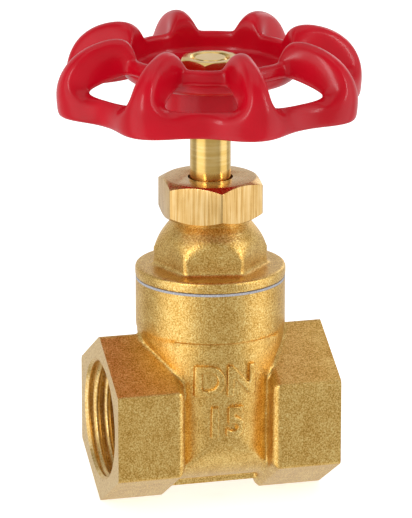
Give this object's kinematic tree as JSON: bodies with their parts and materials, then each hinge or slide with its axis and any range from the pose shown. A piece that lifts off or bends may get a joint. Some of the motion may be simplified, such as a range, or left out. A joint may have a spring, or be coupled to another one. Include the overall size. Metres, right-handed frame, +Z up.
{
  "type": "gate valve",
  "caption": "Small brass gate valve with hexagonal threaded pipe ends, a screwed bonnet, a non-rising stem with internal wedge, and a lobed red handwheel.",
  "frame": {"origin": "on the stem axis, at the level of the bottom ridges of the two hexagonal pipe ends; the pipe axis is 14.43 mm above it", "axes": "+X along the pipe axis from the inlet to the outlet, +Z up along the stem towards the handwheel"},
  "size_m": [0.0524, 0.0524, 0.0794],
  "materials": {
    "forged_brass": "hot forged and shot blasted, fine sparkling grain",
    "machined_brass": "turned and milled, fine tool lines",
    "red_enamel": "thick glossy red enamel",
    "gasket_fibre": "pale grey pressed fibre",
    "packing": "white pressed PTFE packing",
    "white_ptfe": "smooth white PTFE"
  },
  "bodies": {
    "housing": {"body": "forged_brass", "bonnet": "forged_brass", "bonnet_gasket": "gasket_fibre", "stem_lock_ring": "machined_brass", "thrust_washer": "white_ptfe", "packing_ring_1": "packing", "packing_ring_2": "packing", "packing_ring_3": "packing", "gland": "machined_brass", "packing_nut": "machined_brass"},
    "spindle": {"stem": "machined_brass", "handwheel": "red_enamel", "handwheel_nut": "machined_brass"},
    "gate": {"wedge": "machined_brass"}
  },
  "joints": [
    {"name": "stem_turn", "type": "hinge", "parent": "housing", "child": "spindle", "pos_m": [0, 0, 0.01443], "axis": [0, 0, 1], "range_deg": [-2700, 0]},
    {"name": "wedge_slide", "type": "slide", "parent": "housing", "child": "gate", "axis": [0, 0, 1], "range_m": [-0.015, 0]}
  ],
  "couplings": [
    {"joint": "wedge_slide", "follows": "stem_turn", "m_per_rad": 0.0003183}
  ]
}
